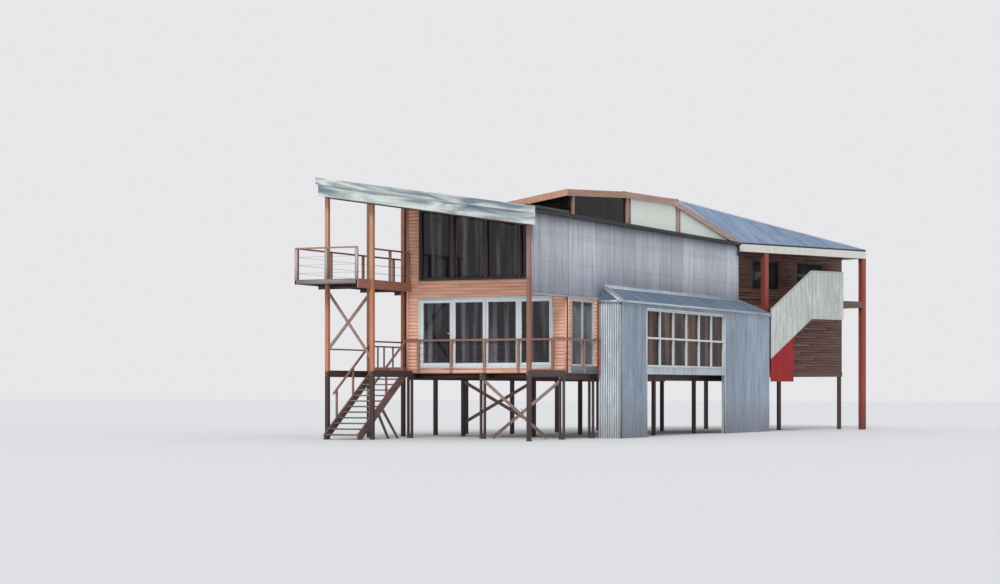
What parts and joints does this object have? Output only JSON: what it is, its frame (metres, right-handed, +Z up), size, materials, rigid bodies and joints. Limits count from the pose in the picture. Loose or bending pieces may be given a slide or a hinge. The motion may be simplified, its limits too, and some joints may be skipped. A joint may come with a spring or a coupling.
{
  "type": "stilt house",
  "caption": "Timber house on stilts with glazed leaves, a porch roof, a clerestory roof, a metal-clad bay, an upper deck with a stair, and a turned rear wing.",
  "frame": {"origin": "centre of the foot of the front left stilt, where the front and left grid lines cross", "axes": "+X along the front to the right, +Y to the back, +Z up"},
  "size_m": [10.1255, 26.7126, 8.47],
  "materials": {
    "post_timber": "oiled",
    "dark_timber": "weathered",
    "siding": "oiled boards",
    "white_frame": "satin",
    "clear_glass": "clear",
    "dark_frame": "stained",
    "ribbed_metal": "galvanised",
    "grey_metal": "weathered",
    "roof_metal": "weathered",
    "fascia_metal": "galvanised",
    "gutter_metal": "satin",
    "edge_timber": "oiled",
    "pale_panel": "translucent sheet",
    "floor_boards": "weathered boards",
    "rail_timber": "weathered",
    "wing_siding": "stained boards",
    "red_paint": "painted",
    "cream_paint": "satin"
  },
  "bodies": {
    "house": {"porch_front_posts": "post_timber", "gallery_posts": "post_timber", "porch_roof_beam": "post_timber", "porch_cross_brace": "dark_timber", "front_stilts": "dark_timber", "rear_stilts": "dark_timber", "floor_beams": "dark_timber", "stilt_braces": "dark_timber", "lower_floor": "siding", "front_corner_panel": "siding", "front_band": "siding", "front_right_panel": "siding", "door_frame": "white_frame", "middle_door_leaves": "white_frame", "middle_door_glass": "clear_glass", "side_wall": "siding", "side_window": "white_frame", "left_wall_lower": "siding", "left_wall_upper": "siding", "left_glazing": "white_frame", "lower_railing": "rail_timber", "bay_near_leg": "ribbed_metal", "bay_far_leg": "ribbed_metal", "bay_beams": "ribbed_metal", "bay_window_frame": "white_frame", "bay_window_glass": "clear_glass", "bay_floor": "floor_boards", "bay_roof": "roof_metal", "upper_floor": "floor_boards", "grey_wall": "grey_metal", "upper_window_frame": "dark_frame", "upper_window_glass": "clear_glass", "porch_roof": "roof_metal", "front_fascia": "fascia_metal", "main_roof": "roof_metal", "raised_roof": "roof_metal", "clerestory_frame": "edge_timber", "clerestory_boards": "edge_timber", "clerestory_glass": "clear_glass", "clerestory_panels": "pale_panel", "gutter": "gutter_metal", "wing_floors": "floor_boards", "wing_walls": "wing_siding", "wing_windows": "dark_frame", "verandah_posts": "red_paint", "wing_fascia": "cream_paint", "wing_roof": "roof_metal", "rear_stair_side": "ribbed_metal", "rear_stair_flight": "red_paint", "upper_deck": "floor_boards", "deck_rims": "rail_timber", "deck_railings": "rail_timber", "entry_landing": "floor_boards", "stair_strings": "rail_timber", "stair_treads": "rail_timber", "stair_handrails": "rail_timber"},
    "left_leaf": {"left_door_leaf": "white_frame", "left_door_glass": "clear_glass"},
    "right_leaf": {"right_door_leaf": "white_frame", "right_door_glass": "clear_glass"}
  },
  "joints": [
    {"name": "left_leaf_hinge", "type": "hinge", "parent": "house", "child": "left_leaf", "pos_m": [0.3885, 0.0093, 3.225], "axis": [0, 0, 1], "range_deg": [0, 90]},
    {"name": "right_leaf_hinge", "type": "hinge", "parent": "house", "child": "right_leaf", "pos_m": [4.8215, 0.0093, 3.225], "axis": [0, 0, -1], "range_deg": [0, 90]}
  ]
}
